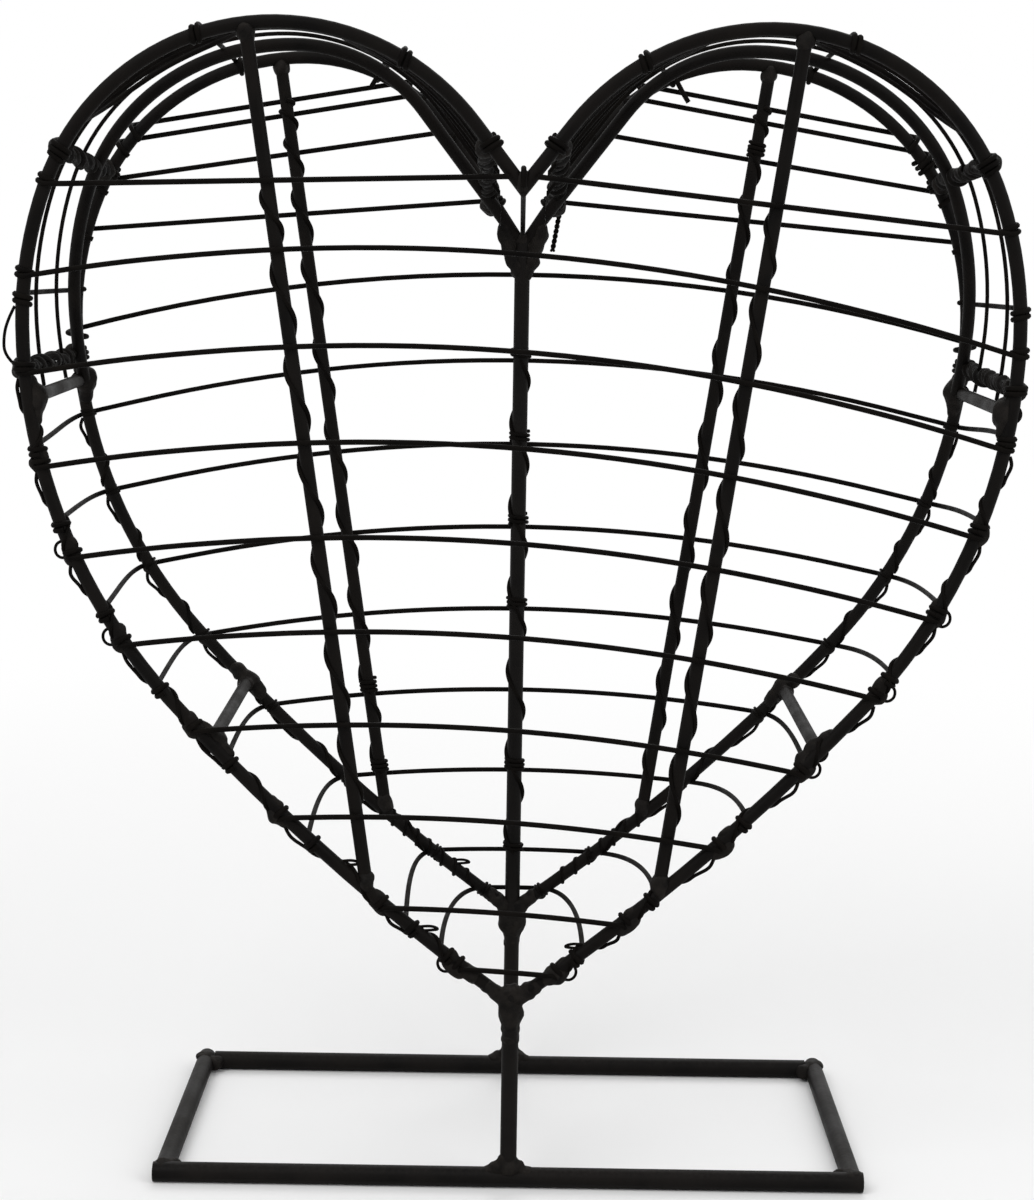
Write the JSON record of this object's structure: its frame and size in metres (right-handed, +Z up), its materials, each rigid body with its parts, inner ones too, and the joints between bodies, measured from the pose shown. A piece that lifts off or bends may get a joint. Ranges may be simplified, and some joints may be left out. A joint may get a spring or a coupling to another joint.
{
  "type": "heart shaped photo frame",
  "caption": "Free-standing open heart cage of welded rod and tied wire on a rectangular round-bar foot, for clipping pictures to its cross wires",
  "frame": {"origin": "on the ground under the middle of the cage", "axes": "+X to the viewer's right, -Y towards the viewer, +Z up"},
  "size_m": [0.2984, 0.1081, 0.344],
  "materials": {
    "bar_enamel": "satin",
    "rod_enamel": "satin",
    "wire_enamel": "satin",
    "weld_enamel": "rough satin"
  },
  "bodies": {
    "root": {"back_course_1": "wire_enamel", "back_course_2": "wire_enamel", "back_course_3": "wire_enamel", "back_course_4": "wire_enamel", "back_course_5": "wire_enamel", "back_course_6": "wire_enamel", "back_course_7": "wire_enamel", "back_course_8": "wire_enamel", "back_heart_left_rod": "rod_enamel", "back_heart_right_rod": "rod_enamel", "back_left_lobe_courses": "wire_enamel", "back_left_rib": "rod_enamel", "back_left_rib_lashing": "wire_enamel", "back_right_lobe_courses": "wire_enamel", "back_right_rib": "rod_enamel", "back_right_rib_lashing": "wire_enamel", "back_spine": "bar_enamel", "back_tip_course": "wire_enamel", "base_back_bar": "bar_enamel", "base_corner_welds": "weld_enamel", "base_front_bar": "bar_enamel", "base_left_bar": "bar_enamel", "base_right_bar": "bar_enamel", "cleft_tie": "wire_enamel", "front_course_1": "wire_enamel", "front_course_2": "wire_enamel", "front_course_3": "wire_enamel", "front_course_4": "wire_enamel", "front_course_5": "wire_enamel", "front_course_6": "wire_enamel", "front_course_7": "wire_enamel", "front_course_8": "wire_enamel", "front_heart_left_rod": "rod_enamel", "front_heart_right_rod": "rod_enamel", "front_left_rib": "rod_enamel", "front_left_rib_lashing": "wire_enamel", "front_left_top_course": "wire_enamel", "front_leg": "bar_enamel", "front_right_rib": "rod_enamel", "front_right_rib_lashing": "wire_enamel", "front_right_top_course": "wire_enamel", "front_tip_course": "wire_enamel", "left_rim_rod": "rod_enamel", "left_rim_wires": "wire_enamel", "left_side_wires": "wire_enamel", "left_ties": "wire_enamel", "leg_foot_welds": "weld_enamel", "lower_left_spacer": "rod_enamel", "lower_right_spacer": "rod_enamel", "right_rim_rod": "rod_enamel", "right_rim_wires": "wire_enamel", "right_side_wires": "wire_enamel", "right_ties": "wire_enamel", "spine_lashing": "wire_enamel", "upper_left_spacer": "rod_enamel", "upper_right_spacer": "rod_enamel"}
  },
  "joints": []
}
